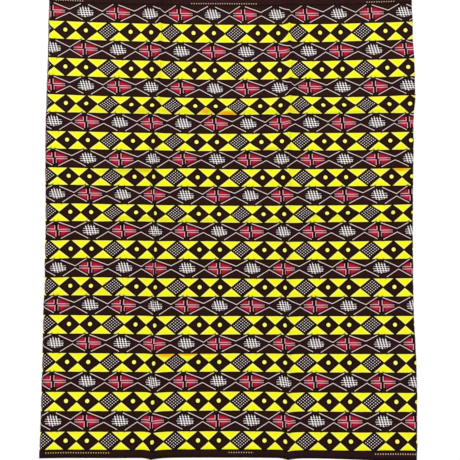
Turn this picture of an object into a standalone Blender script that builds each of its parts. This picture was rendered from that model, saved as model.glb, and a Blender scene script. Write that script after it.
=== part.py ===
"""A length of wax-printed cotton, laid out flat with two standing fold ridges.

The cloth lies on the surface z = 0 with its selvedges along X. Places on the
cloth are given across it, from the left cut end, and up it, from the lower
selvedge, as if it were smoothed out. Sizes are in metres.
"""

import math

import bmesh
import bpy

NAME = "ankara_fabric"
CLOTH = "cloth"

# Cut size of the length and the thickness of its wall
CUT_WIDTH = 0.914
CUT_HEIGHT = 1.130
WALL = 0.001

# How the cloth lies at even steps up it, from the lower selvedge to the upper one:
# where its two cut ends lie, how far the row is pushed up, and how much more the
# row is pushed up at both ends than in the middle
SECTION_COLUMNS = ("left", "right", "push", "bow")
SECTIONS = (
    (-0.4558, 0.4458, -0.5642, -0.0033),
    (-0.4521, 0.4493, -0.5601, 0.0005),
    (-0.4496, 0.4440, -0.5611, 0.0024),
    (-0.4476, 0.4455, -0.5641, 0.0049),
    (-0.4513, 0.4497, -0.5694, 0.0049),
    (-0.4488, 0.4558, -0.5739, 0.0100),
    (-0.4470, 0.4497, -0.5704, 0.0090),
)
# Drop of each row from the middle of the cloth to its right end
ROW_DROP = 0.0014

# Ridges left by the long folds: place across the cloth at the lower and the upper
# selvedge, and height there and half way up
RIDGE_COLUMNS = ("across_low", "across_high", "rise_low", "rise_middle", "rise_high")
RIDGES = (
    (0.277, 0.277, 0.0095, 0.0080, 0.0085),
    (0.606, 0.606, 0.0095, 0.0085, 0.0080),
)
# Distance in which a ridge falls to a third, and how round its crest is
RIDGE_REACH = 0.012
RIDGE_ROUND = 0.003

# Low cross folds: place up the cloth, its ends across the cloth, and its height
CROSS_COLUMNS = ("up", "start", "end", "rise")
CROSSES = (
    (0.845, 0.200, 0.660, 0.0040),
    (0.703, 0.030, 0.300, 0.0030),
    (0.703, 0.640, 0.900, 0.0030),
    (0.592, 0.740, 0.900, 0.0025),
    (0.394, 0.060, 0.640, 0.0020),
    (0.236, 0.230, 0.560, 0.0025),
)
CROSS_REACH = 0.008
CROSS_ROUND = 0.003
CROSS_FADE = 0.050
# Share of its rise at which a fold's foot meets the surface
FOOT = 0.03

# Spacing of the lines of points, in the plain cloth and beside a fold
PLAIN_STEP = 0.070
RIDGE_STEPS = (0.0, 0.003, 0.007, 0.013, 0.022, 0.038)
CROSS_STEPS = (0.0, 0.006, 0.016)

# Look of the printed cotton
CLOTH_COLOUR = (0.058, 0.035, 0.030, 1.0)
CLOTH_ROUGHNESS = 0.72


def clear_scene():
    """Remove what the scene holds."""
    for thing in list(bpy.data.objects):
        bpy.data.objects.remove(thing, do_unlink=True)


def column(name):
    """One column of the table of sections, from the lower selvedge up."""
    index = SECTION_COLUMNS.index(name)
    return [row[index] for row in SECTIONS]


def smooth_read(values, share):
    """Read evenly spaced values along a smooth curve, at a share from 0 to 1."""
    place = min(max(share, 0.0), 1.0) * (len(values) - 1)
    low = min(int(place), len(values) - 2)
    part = place - low
    before = values[low - 1] if low else 2 * values[0] - values[1]
    start, end = values[low], values[low + 1]
    after = values[low + 2] if low + 2 < len(values) else 2 * end - start
    turn = 2 * before - 5 * start + 4 * end - after
    twist = 3 * (start - end) + after - before
    return start + 0.5 * part * (end - before + part * (turn + part * twist))


def fold_shape(distance, reach, roundness):
    """Height of a fold beside its crest, as a share of its rise."""
    away = math.hypot(distance, roundness) - roundness
    return max(0.0, (math.exp(-away / reach) - FOOT) / (1 - FOOT))


def soft_step(value):
    """Rise smoothly from 0 to 1 as the value does."""
    share = min(max(value, 0.0), 1.0)
    return share * share * (3 - 2 * share)


def ridge_place(ridge, up):
    """Place of a ridge across the cloth, at a height up it."""
    row = dict(zip(RIDGE_COLUMNS, ridge))
    share = up / CUT_HEIGHT
    return row["across_low"] + (row["across_high"] - row["across_low"]) * share


def ridge_rise(ridge, across, up):
    """Height that one long ridge gives the cloth at a place on it."""
    row = dict(zip(RIDGE_COLUMNS, ridge))
    rises = (row["rise_low"], row["rise_middle"], row["rise_high"])
    rise = smooth_read(rises, up / CUT_HEIGHT)
    distance = across - ridge_place(ridge, up)
    return rise * fold_shape(distance, RIDGE_REACH, RIDGE_ROUND)


def cross_rise(cross, across, up):
    """Height that one low cross fold gives the cloth at a place on it."""
    row = dict(zip(CROSS_COLUMNS, cross))
    inside = min(across - row["start"], row["end"] - across)
    fade = soft_step(inside / CROSS_FADE)
    return row["rise"] * fade * fold_shape(up - row["up"], CROSS_REACH, CROSS_ROUND)


def rise(across, up):
    """Height of the cloth's underside over the surface."""
    ridges = sum(ridge_rise(ridge, across, up) for ridge in RIDGES)
    crosses = max(cross_rise(cross, across, up) for cross in CROSSES)
    return max(ridges, crosses)


def lines(length, folds, steps):
    """Places of the lines of points along one side of the cloth."""
    places = {0.0, length}
    for fold in folds:
        for step in steps:
            places.update((fold - step, fold + step))
    kept = sorted(place for place in places if 0.0 <= place <= length)
    filled = [kept[0]]
    for place in kept[1:]:
        gap = place - filled[-1]
        parts = max(1, math.ceil(gap / PLAIN_STEP))
        start = filled[-1]
        filled.extend(start + gap * (i + 1) / parts for i in range(parts))
    return filled


def row_of_points(across_lines, up):
    """Points of the underside along one row of the cloth, left to right."""
    share_up = up / CUT_HEIGHT
    left = smooth_read(column("left"), share_up)
    right = smooth_read(column("right"), share_up)
    push = smooth_read(column("push"), share_up)
    bow = smooth_read(column("bow"), share_up)
    heights = [rise(across, up) for across in across_lines]
    used = [0.0]
    for i in range(1, len(across_lines)):
        run = across_lines[i] - across_lines[i - 1]
        climb = heights[i] - heights[i - 1]
        used.append(used[-1] + math.sqrt(run * run - climb * climb))
    points = []
    for across, height, so_far in zip(across_lines, heights, used):
        side = 2 * across / CUT_WIDTH - 1
        x = left + (right - left) * so_far / used[-1]
        y = up + push + bow * side * side - ROW_DROP * side
        points.append((x, y, height))
    return points


def cloth_surface():
    """Underside of the laid cloth, centred on the origin, as an open surface."""
    ridge_places = [ridge_place(ridge, 0.0) for ridge in RIDGES]
    cross_places = sorted({cross[CROSS_COLUMNS.index("up")] for cross in CROSSES})
    across_lines = lines(CUT_WIDTH, ridge_places, RIDGE_STEPS)
    up_lines = lines(CUT_HEIGHT, cross_places, CROSS_STEPS)
    across_cells, up_cells = len(across_lines) - 1, len(up_lines) - 1
    surface = bmesh.new()
    bmesh.ops.create_grid(surface, x_segments=across_cells, y_segments=up_cells, size=0.5)
    rows = [row_of_points(across_lines, up) for up in up_lines]
    for vert in surface.verts:
        i = round((vert.co.x + 0.5) * across_cells)
        j = round((vert.co.y + 0.5) * up_cells)
        vert.co = rows[j][i]
    xs = [vert.co.x for vert in surface.verts]
    ys = [vert.co.y for vert in surface.verts]
    middle = ((min(xs) + max(xs)) / 2, (min(ys) + max(ys)) / 2, 0.0)
    bmesh.ops.translate(surface, verts=surface.verts, vec=[-value for value in middle])
    mesh = bpy.data.meshes.new(CLOTH)
    surface.to_mesh(mesh)
    surface.free()
    return mesh


def cotton():
    """Material of the printed cotton, in the colour of its dark ground."""
    material = bpy.data.materials.new("printed_cotton")
    material.use_nodes = True
    shader = material.node_tree.nodes["Principled BSDF"]
    shader.inputs["Base Color"].default_value = CLOTH_COLOUR
    shader.inputs["Roughness"].default_value = CLOTH_ROUGHNESS
    shader.inputs["Metallic"].default_value = 0.0
    return material


def build_cloth(collection):
    """The cloth as a wall of even thickness over its underside."""
    mesh = cloth_surface()
    mesh.materials.append(cotton())
    mesh.shade_smooth()
    cloth = bpy.data.objects.new(CLOTH, mesh)
    collection.objects.link(cloth)
    wall = cloth.modifiers.new("wall", "SOLIDIFY")
    wall.thickness = WALL
    wall.offset = 1.0
    return cloth


def main():
    """Build the laid length of cloth."""
    clear_scene()
    collection = bpy.data.collections.new(NAME)
    bpy.context.scene.collection.children.link(collection)
    build_cloth(collection)


main()
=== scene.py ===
"""A laid length of wax-printed cotton, dressed on its fixed frame.

The cloth lies on the surface z = 0 with its selvedges along X. Places on the
cloth are given across it, from the left cut end, and up it, from the lower
selvedge. Sizes of the cloth are in metres, and sizes of the print on it are
in millimetres.
"""

import logging
import math
import random
from dataclasses import dataclass
from enum import Enum
from typing import Sequence

import bmesh
import bpy
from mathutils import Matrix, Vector, noise


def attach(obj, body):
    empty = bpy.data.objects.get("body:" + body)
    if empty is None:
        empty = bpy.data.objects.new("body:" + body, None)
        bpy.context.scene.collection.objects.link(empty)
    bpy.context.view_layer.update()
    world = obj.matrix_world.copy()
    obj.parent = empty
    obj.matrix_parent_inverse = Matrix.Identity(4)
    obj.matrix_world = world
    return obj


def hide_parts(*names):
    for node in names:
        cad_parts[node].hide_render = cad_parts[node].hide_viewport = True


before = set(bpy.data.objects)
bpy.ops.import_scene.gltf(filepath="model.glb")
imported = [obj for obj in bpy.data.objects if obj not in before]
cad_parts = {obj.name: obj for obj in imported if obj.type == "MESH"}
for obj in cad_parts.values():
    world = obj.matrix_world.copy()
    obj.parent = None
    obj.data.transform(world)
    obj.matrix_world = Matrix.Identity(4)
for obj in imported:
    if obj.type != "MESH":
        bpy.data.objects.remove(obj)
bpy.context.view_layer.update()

BODY = "root"
CLOTH_NODE = "cloth"

# Cut size of the length, and its thickness
CUT_WIDTH = 0.914
CUT_HEIGHT = 1.130
CLOTH_THICKNESS = 0.0004
# Gap that keeps the underside clear of the floor's plane
LIFT = 0.0001

# The map of the print on the cloth, and the mask of painted fold shade kept at its points
PRINT_MAP = "cloth_place"
FOLD_SHADE_MASK = "painted_fold_shade"

MM = 1000.0

# How bright the studio's light makes a white surface
STUDIO_LIGHT = 1.07

# Millimetres that take a mark off the cloth
FAR = 60.0
# How sharply a mask that reads whole numbers is cut
SHARP = 10.0
# Millimetres that the values of a ramp cover, from 0 to 1
RAMP_SPAN = 60.0

Colour = tuple[float, float, float, float]
Point = tuple[float, float, float]


def ink(red: float, green: float, blue: float) -> Colour:
    """Colour of an ink in linear light, by the usual curve of a screen.

    Args:
        red: Red as it looks under the studio's light, from 0 to 255.
        green: Green, in the same way.
        blue: Blue, in the same way.

    Returns:
        The colour for a shader's socket.
    """
    shares = (red / 255, green / 255, blue / 255)
    linear = [s / 12.92 if s <= 0.04045 else ((s + 0.055) / 1.055) ** 2.4 for s in shares]
    red_light, green_light, blue_light = (value / STUDIO_LIGHT for value in linear)
    return (red_light, green_light, blue_light, 1.0)


class Ink(Enum):
    """Inks of the print, tones of the cotton under them, and the orange of painted fold shade."""

    BROWN = ink(42, 20, 17)
    PLUM = ink(53, 20, 31)
    UMBER = ink(33, 14, 11)
    OLIVE = ink(38, 17, 0)
    OLIVE_BLACK = ink(14, 2, 0)
    BLACK = ink(10, 2, 4)
    YELLOW = ink(250, 250, 0)
    DEEP_YELLOW = ink(243, 241, 14)
    PALE_YELLOW = ink(252, 250, 122)
    RIM = ink(248, 243, 140)
    CORNER = ink(247, 237, 172)
    DOT_EYE = ink(236, 232, 84)
    # Painted shade: the orange that the yellow is painted on the shaded side of a cross fold
    FOLD_SHADE_ORANGE = ink(240, 172, 12)
    LINE = ink(244, 219, 213)
    RED = ink(178, 24, 54)
    LOW_RED = ink(200, 32, 64)
    RED_EDGE = ink(66, 0, 8)
    PINK = ink(240, 170, 180)
    PAIR = ink(104, 40, 54)
    TIP = ink(184, 150, 152)
    WHITE = ink(254, 246, 244)
    CHECK_WHITE = ink(255, 238, 234)
    HATCH_BAR = ink(222, 213, 213)
    MARK = ink(206, 176, 150)
    RAW_COTTON = ink(205, 190, 160)


# How the cloth lies


@dataclass(frozen=True)
class Section:
    """How one row of the cloth lies, in metres.

    Attributes:
        left: Where its left cut end lies.
        right: Where its right cut end lies.
        push: How far the row is pushed up.
        bow: How much more both ends are pushed up than the middle.
        print_shift: How far the print is set to the left on the cloth.
    """

    left: float
    right: float
    push: float
    bow: float
    print_shift: float


@dataclass(frozen=True)
class Ridge:
    """A ridge left by a long fold, from selvedge to selvedge.

    Each value is given at evenly spaced places from the lower selvedge up.

    Attributes:
        across: Places across the cloth.
        heights: Heights.
        slides: How far the cloth on the ridge, and more so right of it, is pushed up.
    """

    across: tuple[float, ...]
    heights: tuple[float, ...]
    slides: tuple[float, ...]


@dataclass(frozen=True)
class CrossFold:
    """A low fold along the rows of print.

    Attributes:
        start: Its left end across the cloth.
        start_up: Place up the cloth of that end.
        end: Its right end across the cloth.
        end_up: Place up the cloth of that end.
        rise: Its height.
    """

    start: float
    start_up: float
    end: float
    end_up: float
    rise: float


@dataclass(frozen=True)
class Nudge:
    """A place where the cloth lies a little off its even rows.

    Attributes:
        across: Place across the cloth.
        up: Place up the cloth.
        half_width: Distance to each side at which it falls to half.
        half_height: Distance up and down at which it falls to half.
        shift: How far the cloth is pushed up there.
        aside: How far it is pushed to the right.
    """

    across: float
    up: float
    half_width: float
    half_height: float
    shift: float
    aside: float = 0.0


@dataclass(frozen=True)
class FoldShadePatch:
    """A patch of painted shade beside a cross fold, where the yellow is painted orange.

    Attributes:
        across: Middle of the patch across the cloth.
        up: Middle of the patch up the cloth.
        half_width: Half its width.
        half_height: Half its height.
        strength: How strong it is, from 0 to 1.
    """

    across: float
    up: float
    half_width: float
    half_height: float
    strength: float


# Evenly spaced rows of the cloth, from the lower selvedge up
SECTIONS = (
    Section(-0.4546, 0.4453, -0.5642, -0.0033, -0.0330),
    Section(-0.4508, 0.4486, -0.5601, 0.0005, -0.0295),
    Section(-0.4496, 0.4440, -0.5611, 0.0024, -0.0345),
    Section(-0.4476, 0.4455, -0.5641, 0.0049, -0.0311),
    Section(-0.4513, 0.4497, -0.5694, 0.0049, -0.0240),
    Section(-0.4488, 0.4558, -0.5739, 0.0100, -0.0142),
    Section(-0.4470, 0.4497, -0.5704, 0.0090, -0.0102),
)
# The two long folds
RIDGES = (
    Ridge(
        across=(
            0.2715, 0.2710, 0.2700, 0.2722, 0.2733, 0.2726, 0.2735,
            0.2683, 0.2730, 0.2770, 0.2775, 0.2785, 0.2790,
        ),
        heights=(0.0082, 0.0086, 0.0092, 0.0102, 0.0086, 0.0086, 0.0090),
        slides=(-0.0020, -0.0018, -0.0010, -0.0008, 0.0, 0.0, 0.0005),
    ),
    Ridge(
        across=(0.6040, 0.6050, 0.6060),
        heights=(0.0084, 0.0086, 0.0092, 0.0090, 0.0090, 0.0094, 0.0094),
        slides=(-0.0018, -0.0012, -0.0010, -0.0004, 0.0006, 0.0022, 0.0010),
    ),
)
# The low folds along the rows of print
CROSS_FOLDS = (
    CrossFold(0.040, 0.854, 0.600, 0.846, 0.0062),
    CrossFold(0.560, 0.854, 0.890, 0.856, 0.0066),
    CrossFold(0.110, 0.696, 0.280, 0.698, 0.0072),
    CrossFold(0.310, 0.722, 0.600, 0.757, 0.0068),
    CrossFold(0.610, 0.840, 0.900, 0.846, 0.0050),
    CrossFold(0.840, 0.700, 0.914, 0.704, 0.0050),
    CrossFold(0.225, 0.850, 0.305, 0.850, 0.0058),
    CrossFold(0.120, 0.577, 0.630, 0.575, 0.0060),
    CrossFold(0.610, 0.581, 0.900, 0.592, 0.0072),
    CrossFold(0.060, 0.398, 0.250, 0.402, 0.0045),
    CrossFold(0.270, 0.232, 0.470, 0.236, 0.0052),
)
# Places where the cloth lies off its even rows
NUDGES = (
    Nudge(0.384, 0.947, 0.160, 0.035, -0.0010),
    Nudge(0.457, 0.881, 0.070, 0.030, -0.0014),
    Nudge(0.613, 0.813, 0.060, 0.070, 0.0016),
    Nudge(0.632, 0.881, 0.035, 0.020, 0.0028),
    Nudge(0.400, 0.785, 0.120, 0.035, -0.0011),
    Nudge(0.170, 0.695, 0.060, 0.022, -0.0024),
    Nudge(0.355, 0.704, 0.050, 0.020, 0.0014),
    Nudge(0.215, 0.584, 0.035, 0.020, 0.0014),
    Nudge(0.500, 0.584, 0.110, 0.025, -0.0012, -0.0010),
    Nudge(0.020, 0.545, 0.030, 0.110, -0.0017),
    Nudge(0.885, 0.618, 0.040, 0.020, -0.0015),
    Nudge(0.360, 0.496, 0.200, 0.050, 0.0014),
    Nudge(0.136, 0.411, 0.090, 0.035, 0.0014),
    Nudge(0.400, 0.298, 0.190, 0.022, -0.0013),
    Nudge(0.030, 0.296, 0.040, 0.022, -0.0012),
    Nudge(0.482, 0.143, 0.140, 0.130, 0.0019),
    Nudge(0.250, 0.040, 0.050, 0.080, 0.0, -0.0018),
    Nudge(0.620, 0.311, 0.030, 0.030, 0.0, -0.0010),
    Nudge(0.044, 0.020, 0.070, 0.040, 0.0013),
    Nudge(0.885, 0.060, 0.060, 0.050, 0.0016),
    Nudge(0.870, 0.000, 0.080, 0.008, -0.0044),
    Nudge(0.880, 0.018, 0.060, 0.010, 0.0014),
    Nudge(0.790, 0.095, 0.160, 0.110, 0.0, 0.0016),
    Nudge(0.810, 0.022, 0.120, 0.024, 0.0, 0.0018),
    Nudge(0.700, 0.857, 0.060, 0.030, 0.0, -0.0014),
    Nudge(0.855, 0.905, 0.035, 0.060, 0.0, -0.0016),
    Nudge(0.914, 1.022, 0.030, 0.030, 0.0, -0.0020),
    Nudge(0.914, 0.875, 0.020, 0.020, 0.0, 0.0018),
    Nudge(0.914, 0.815, 0.020, 0.025, 0.0, -0.0015),
    Nudge(0.000, 0.409, 0.020, 0.025, 0.0, 0.0018),
    Nudge(0.012, 0.465, 0.030, 0.035, -0.0020),
)
# How far the cloth is drawn to the left, at evenly spaced places from the left cut end
PULLS = (
    0.0003, 0.0003, -0.0004, -0.0011, -0.0008, -0.0009, 0.0,
    0.0003, 0.0008, 0.0010, 0.0012, -0.0004, -0.0004,
)
# How far the print is drawn in at the left cut end, from the lower selvedge up
SQUEEZES = (0.010, 0.012, 0.012, 0.009, 0.006, 0.018, 0.020)
# Patches of painted shade along some of the cross folds, where the yellow is painted orange
FOLD_SHADE_PATCHES = (
    FoldShadePatch(0.232, 0.840, 0.020, 0.004, 0.35),
    FoldShadePatch(0.397, 0.846, 0.012, 0.009, 0.8),
    FoldShadePatch(0.452, 0.838, 0.024, 0.006, 1.0),
    FoldShadePatch(0.614, 0.842, 0.022, 0.008, 0.28),
    FoldShadePatch(0.246, 0.694, 0.020, 0.005, 0.5),
    FoldShadePatch(0.882, 0.6955, 0.024, 0.0055, 0.9),
    FoldShadePatch(0.601, 0.850, 0.006, 0.005, 0.35),
    FoldShadePatch(0.304, 0.2400, 0.020, 0.0060, 1.0),
    FoldShadePatch(0.357, 0.2415, 0.024, 0.0045, 1.0),
    FoldShadePatch(0.410, 0.2425, 0.022, 0.0035, 0.7),
    FoldShadePatch(0.093, 0.396, 0.012, 0.004, 0.5),
    FoldShadePatch(0.155, 0.410, 0.012, 0.004, 0.5),
)


def smooth_read(values: Sequence[float], share: float) -> float:
    """Read evenly spaced values along a smooth curve.

    Args:
        values: The values, from the first to the last.
        share: Where to read, from 0 to 1.

    Returns:
        The value there.
    """
    place = min(max(share, 0.0), 1.0) * (len(values) - 1)
    low = min(int(place), len(values) - 2)
    part = place - low
    before = values[low - 1] if low else 2 * values[0] - values[1]
    start, end = values[low], values[low + 1]
    after = values[low + 2] if low + 2 < len(values) else 2 * end - start
    turn = 2 * before - 5 * start + 4 * end - after
    twist = 3 * (start - end) + after - before
    return start + 0.5 * part * (end - before + part * (turn + part * twist))


def soft_step(value: float) -> float:
    """Rise smoothly from 0 to 1 as the value does."""
    share = min(max(value, 0.0), 1.0)
    return share * share * (3 - 2 * share)


@dataclass(frozen=True)
class Waver:
    """A smooth unevenness along a line on the cloth.

    Attributes:
        amount: Its greatest strength.
        size: Distance from one wave to the next.
        layer: Its place in the noise, which sets it apart from the others.
        spread: How far apart in the noise two lines a metre apart lie.
    """

    amount: float
    size: float
    layer: float
    spread: float = 1.0

    def at(self, place: float, line: float) -> float:
        """The unevenness at a place along a line, which is told apart by where it lies."""
        return self.amount * noise.noise(Vector((place / self.size, line * self.spread, self.layer)))


@dataclass(frozen=True)
class Lay:
    """How the whole cloth lies on the surface.

    Attributes:
        row_drop: Drop of each row from the middle of the cloth to its right end.
        ridge_reach: Distance in which a ridge falls to a third.
        ridge_round: How round its crest is.
        slide_left: Distance on the left of a ridge in which its slide fades.
        slide_right: The same on the right of it.
        cross_reach: Distance in which a cross fold falls to a third.
        cross_round: How round its crest is.
        cross_fade: Length over which a cross fold fades at its ends.
        foot: Share of its rise at which a fold's foot meets the surface.
        ridge_wander: How a ridge's line wanders.
        ridge_uneven: How uneven a ridge's height is, as a share of it.
        cross_wander: How a cross fold's line wanders.
        cross_uneven: How uneven a cross fold's height is, as a share of it.
        taken_share: Length, in reaches, in which a cross fold's slopes take up cloth.
        pull_fade: Distance beside a cross fold over which the rows it pulls in settle.
        nudge_fall: How fast a nudge falls, so that it halves at its half width.
        shade_end: Where a patch of painted fold shade ends, in half widths from its middle.
        squeeze_width: Width of the strip at the left cut end where the print is drawn in.
        cut_uneven: How the cut ends stand out and in where the shears wandered.
        cut_lines: Places in the noise of the left and the right cut end.
        cut_fade: Distance inside a cut end in which that fades.
        middle_x: Middle of the laid outline before it is centred, along X.
        middle_y: The same, along Y.
        swell: Height of the cloth's soft swells between the folds.
        swell_size: Distance from one swell to the next.
        swell_lift: How much of the noise is lifted clear of the surface.
        swell_layer: Place of the swells in the noise.
    """

    row_drop: float = 0.0014
    ridge_reach: float = 0.0082
    ridge_round: float = 0.0017
    slide_left: float = 0.014
    slide_right: float = 0.030
    cross_reach: float = 0.008
    cross_round: float = 0.003
    cross_fade: float = 0.050
    foot: float = 0.03
    ridge_wander: Waver = Waver(0.0016, 0.110, 3.1, 40.0)
    ridge_uneven: Waver = Waver(0.08, 0.045, 7.7, 70.0)
    cross_wander: Waver = Waver(0.0022, 0.060, 1.9, 50.0)
    cross_uneven: Waver = Waver(0.25, 0.050, 5.2, 30.0)
    taken_share: float = 2.2
    pull_fade: float = 0.030
    nudge_fall: float = 0.7
    shade_end: float = 1.5
    squeeze_width: float = 0.0040
    cut_uneven: Waver = Waver(0.0009, 0.016, 8.3)
    cut_lines: tuple[float, float] = (0.3, 6.3)
    cut_fade: float = 0.003
    middle_x: float = -0.00003
    middle_y: float = 0.00055
    swell: float = 0.0006
    swell_size: float = 0.085
    swell_lift: float = 0.25
    swell_layer: float = 0.4

    def fold_shape(self, distance: float, reach: float, roundness: float) -> float:
        """Height of a fold beside its crest, as a share of its rise.

        Args:
            distance: Distance from the crest.
            reach: Distance in which it falls to a third.
            roundness: How round its crest is.

        Returns:
            The height, from 0 to 1.
        """
        away = math.hypot(distance, roundness) - roundness
        return max(0.0, (math.exp(-away / reach) - self.foot) / (1 - self.foot))

    def ridge_line(self, ridge: Ridge, up: float) -> float:
        """Place across the cloth of a ridge's crest, which wanders a little."""
        across = smooth_read(ridge.across, up / CUT_HEIGHT)
        return across + self.ridge_wander.at(up, ridge.across[0])

    def ridge_rise(self, ridge: Ridge, across: float, up: float) -> float:
        """Height that one long ridge gives the cloth at a place on it.

        Args:
            ridge: The ridge.
            across: Place across the cloth.
            up: Place up the cloth.

        Returns:
            The height.
        """
        height = smooth_read(ridge.heights, up / CUT_HEIGHT)
        uneven = 1 + self.ridge_uneven.at(up, ridge.across[0])
        distance = across - self.ridge_line(ridge, up)
        return height * uneven * self.fold_shape(distance, self.ridge_reach, self.ridge_round)

    def ridge_slide(self, ridge: Ridge, across: float, up: float) -> float:
        """How far one long ridge pushes the cloth up at a place on it.

        Args:
            ridge: The ridge.
            across: Place across the cloth.
            up: Place up the cloth.

        Returns:
            The distance.
        """
        distance = across - self.ridge_line(ridge, up)
        slide = smooth_read(ridge.slides, up / CUT_HEIGHT)
        reach = self.slide_right if distance > 0.0 else self.slide_left
        return slide * math.exp(-((distance / reach) ** 2))

    def cross_line(self, fold: CrossFold, across: float) -> float:
        """Place up the cloth of a cross fold's crest, which wanders a little.

        Args:
            fold: The fold.
            across: Place across the cloth.

        Returns:
            The place.
        """
        share = (across - fold.start) / (fold.end - fold.start)
        wander = self.cross_wander.at(across, fold.start_up)
        return fold.start_up + (fold.end_up - fold.start_up) * share + wander

    def cross_height(self, fold: CrossFold, across: float) -> float:
        """Height of a cross fold's crest, which fades at its ends.

        Args:
            fold: The fold.
            across: Place across the cloth.

        Returns:
            The height.
        """
        inside = min(across - fold.start, fold.end - across)
        uneven = 1 + self.cross_uneven.at(across, fold.start_up)
        return fold.rise * soft_step(inside / self.cross_fade) * uneven

    def cross_rise(self, fold: CrossFold, across: float, up: float) -> float:
        """Height that one cross fold gives the cloth at a place on it."""
        off = up - self.cross_line(fold, across)
        return self.cross_height(fold, across) * self.fold_shape(off, self.cross_reach, self.cross_round)

    def cross_pull(self, fold: CrossFold, across: float, up: float) -> float:
        """How far one cross fold pulls the cloth beside it towards its crest, along Y.

        Args:
            fold: The fold.
            across: Place across the cloth.
            up: Place up the cloth.

        Returns:
            The distance.
        """
        off = up - self.cross_line(fold, across)
        taken = self.cross_height(fold, across) ** 2 / (self.taken_share * self.cross_reach)
        settled = math.exp(-((off / self.pull_fade) ** 2))
        return -taken / 2 * math.tanh(off / self.cross_reach) * settled

    def swell_rise(self, across: float, up: float) -> float:
        """Height of the soft swells between the folds."""
        place = Vector((across / self.swell_size, up / self.swell_size, self.swell_layer))
        return self.swell * max(0.0, noise.noise(place) + self.swell_lift)

    def nudge(self, across: float, up: float) -> tuple[float, float]:
        """How far the cloth is pushed to the right and up at a place on it.

        Args:
            across: Place across the cloth.
            up: Place up the cloth.

        Returns:
            The two distances.
        """
        aside, shift = 0.0, 0.0
        for spot in NUDGES:
            a = (across - spot.across) / spot.half_width
            b = (up - spot.up) / spot.half_height
            share = math.exp(-self.nudge_fall * (a * a + b * b))
            aside += spot.aside * share
            shift += spot.shift * share
        return aside, shift

    def cut_shift(self, across: float, up: float) -> float:
        """How far an uneven cut end shifts the cloth to the right at a place near it.

        Args:
            across: Place across the cloth.
            up: Place up the cloth.

        Returns:
            The distance.
        """
        left, right = (self.cut_uneven.at(up, line) for line in self.cut_lines)
        left *= math.exp(-across / self.cut_fade)
        right *= math.exp(-(CUT_WIDTH - across) / self.cut_fade)
        return left + right

    def rise(self, across: float, up: float) -> float:
        """Height of the cloth's underside over the surface.

        Args:
            across: Place across the cloth.
            up: Place up the cloth.

        Returns:
            The height.
        """
        ridges = sum(self.ridge_rise(ridge, across, up) for ridge in RIDGES)
        crosses = max(self.cross_rise(fold, across, up) for fold in CROSS_FOLDS)
        return max(ridges, crosses) + self.swell_rise(across, up)

    def row(self, across_lines: Sequence[float], up: float) -> list[Point]:
        """Points of the underside along one row of the cloth.

        Args:
            across_lines: Places across the cloth, from the left cut end.
            up: Place up the cloth.

        Returns:
            The points, from left to right.
        """
        share = up / CUT_HEIGHT
        left = smooth_read([section.left for section in SECTIONS], share)
        right = smooth_read([section.right for section in SECTIONS], share)
        push = smooth_read([section.push for section in SECTIONS], share)
        bow = smooth_read([section.bow for section in SECTIONS], share)
        heights = [self.rise(across, up) for across in across_lines]
        used = [0.0]
        for i in range(1, len(across_lines)):
            run = across_lines[i] - across_lines[i - 1]
            climb = heights[i] - heights[i - 1]
            used.append(used[-1] + math.sqrt(max(run * run - climb * climb, 0.0)))
        points = []
        for across, height, so_far in zip(across_lines, heights, used):
            side = 2 * across / CUT_WIDTH - 1
            x = left + (right - left) * so_far / used[-1] - self.middle_x
            aside, shift = self.nudge(across, up)
            x += aside - smooth_read(PULLS, across / CUT_WIDTH) + self.cut_shift(across, up)
            y = up + push + bow * side * side - self.row_drop * side - self.middle_y
            y += sum(self.ridge_slide(ridge, across, up) for ridge in RIDGES)
            y += sum(self.cross_pull(fold, across, up) for fold in CROSS_FOLDS)
            y += shift
            points.append((x, y, height + LIFT))
        return points

    def print_place(self, across: float, up: float) -> tuple[float, float]:
        """Place in the print, in metres, that lies at a place on the cloth.

        Args:
            across: Place across the cloth.
            up: Place up the cloth.

        Returns:
            The place across the print and up it.
        """
        shift = smooth_read([section.print_shift for section in SECTIONS], up / CUT_HEIGHT)
        drawn = max(0.0, 1 - across / self.squeeze_width)
        squeeze = smooth_read(SQUEEZES, up / CUT_HEIGHT) * drawn * drawn
        return across - CUT_WIDTH / 2 + shift - squeeze, up

    def fold_shade(self, across: float, up: float) -> float:
        """How strongly the yellow is painted orange as fold shade at a place on the cloth.

        Args:
            across: Place across the cloth.
            up: Place up the cloth.

        Returns:
            The strength, from 0 to 1.
        """
        total = 0.0
        for patch in FOLD_SHADE_PATCHES:
            a = (across - patch.across) / patch.half_width
            b = (up - patch.up) / patch.half_height
            total = max(total, patch.strength * soft_step(self.shade_end - math.hypot(a, b)))
        return total


# Numbers worked out by shader nodes


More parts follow.
